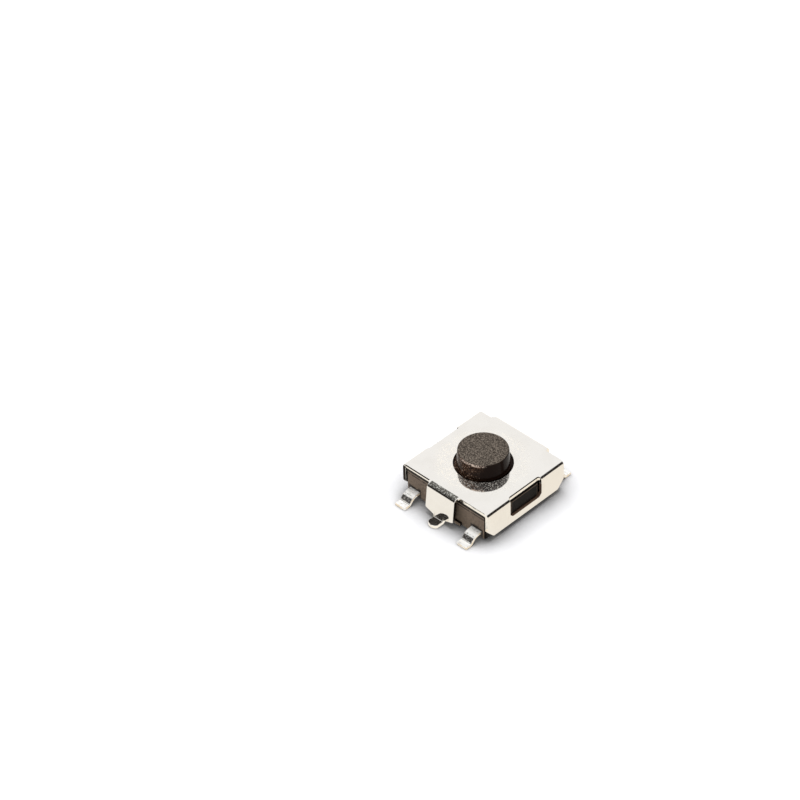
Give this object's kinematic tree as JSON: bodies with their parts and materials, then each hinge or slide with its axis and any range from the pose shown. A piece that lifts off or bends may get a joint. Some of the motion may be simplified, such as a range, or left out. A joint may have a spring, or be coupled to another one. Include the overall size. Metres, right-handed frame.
{
  "type": "tactile push button switch",
  "caption": "Square surface-mount tactile push button with a folded metal cover, round black plunger, gull-wing leads and a ground foot.",
  "frame": {"origin": "on the plunger's axis, in the plane of the circuit board under the leads", "axes": "+Z out of the board along the plunger; the leads face -Y and +Y, with the ground foot on -Y; the windowed skirts face -X and +X"},
  "size_m": [0.0062, 0.0082, 0.0029],
  "materials": {
    "cover_steel": "bright satin, nickel plated",
    "plunger_plastic": "black, matte top with a spark-eroded texture",
    "housing_plastic": "black, matte",
    "lead_tin": "bright tin or silver plating",
    "dome_steel": "bright spring steel",
    "film_amber": "clear amber film"
  },
  "bodies": {
    "base": {"cover": "cover_steel", "seal_film": "film_amber", "dome_contact": "dome_steel", "housing": "housing_plastic", "centre_terminal": "lead_tin", "rim_terminal": "lead_tin"},
    "button": {"plunger": "plunger_plastic"}
  },
  "joints": [
    {"name": "plunger_press", "type": "slide", "parent": "base", "child": "button", "axis": [0, 0, -1], "range_m": [0, 0.00025], "stiffness_N_per_m": 4000, "springref_m": -0.00015, "deforming": ["dome_contact", "seal_film"]}
  ]
}
